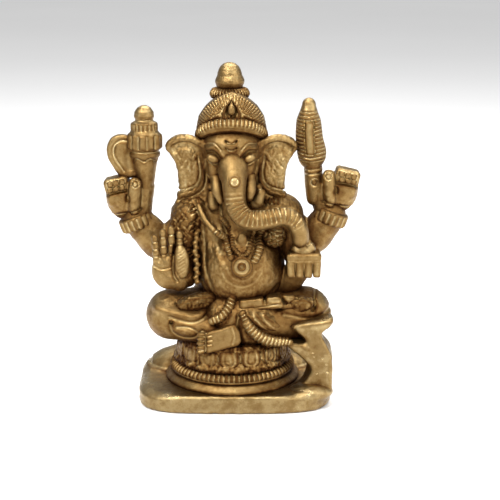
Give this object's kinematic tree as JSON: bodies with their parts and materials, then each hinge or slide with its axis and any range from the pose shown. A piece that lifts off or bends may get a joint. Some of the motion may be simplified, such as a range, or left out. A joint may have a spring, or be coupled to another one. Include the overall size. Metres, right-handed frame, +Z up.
{
  "type": "ganesha idol",
  "caption": "Small cast brass figure of a seated elephant-headed deity with four arms, on a round lotus seat and an oval plinth, for a home shrine.",
  "frame": {"origin": "middle of the flat underside of the plinth", "axes": "+Z up, the figure faces -Y, its right hand side is towards -X"},
  "size_m": [0.057, 0.032, 0.076],
  "materials": {
    "cast_brass": "aged cast brass, polished on the high relief and dark brown in the recesses",
    "worn_brass": "paler brass, filed and rubbed smooth, with faint scratches",
    "dark_brass": "rough cast brass that keeps its brown patina"
  },
  "bodies": {
    "root": {"plinth": "worn_brass", "seat_step": "cast_brass", "beaded_ring": "cast_brass", "seat_cushion": "dark_brass", "lotus_petals": "cast_brass", "torso": "cast_brass", "right_leg": "cast_brass", "left_leg": "cast_brass", "lap_cloth": "cast_brass", "left_foot": "cast_brass", "right_foot": "cast_brass", "right_sash": "cast_brass", "left_sash": "cast_brass", "right_thigh_drape": "dark_brass", "left_thigh_drape": "dark_brass", "right_upper_arm": "dark_brass", "left_upper_arm": "cast_brass", "blessing_hand": "cast_brass", "offering_hand": "cast_brass", "sweets": "worn_brass", "rear_right_arm": "cast_brass", "rear_left_arm": "cast_brass", "rear_right_fist": "cast_brass", "rear_left_fist": "cast_brass", "rear_right_bracelet": "cast_brass", "rear_left_bracelet": "cast_brass", "axe_shaft": "cast_brass", "axe_blade": "cast_brass", "goad_head": "cast_brass", "goad_handle": "cast_brass", "head": "cast_brass", "trunk": "cast_brass", "trunk_roundel": "cast_brass", "right_tusk": "cast_brass", "left_tusk": "cast_brass", "right_ear": "cast_brass", "left_ear": "cast_brass", "right_ear_drop": "cast_brass", "left_ear_drop": "cast_brass", "crown_cap": "cast_brass", "crown_band": "cast_brass", "crown_front": "cast_brass", "crown_jewel": "cast_brass", "crown_ring": "cast_brass", "crown_finial": "cast_brass", "necklace": "cast_brass", "sacred_thread": "cast_brass", "bead_strand": "cast_brass", "medallion": "cast_brass", "chest_rosette": "cast_brass", "mouse": "worn_brass"}
  },
  "joints": []
}
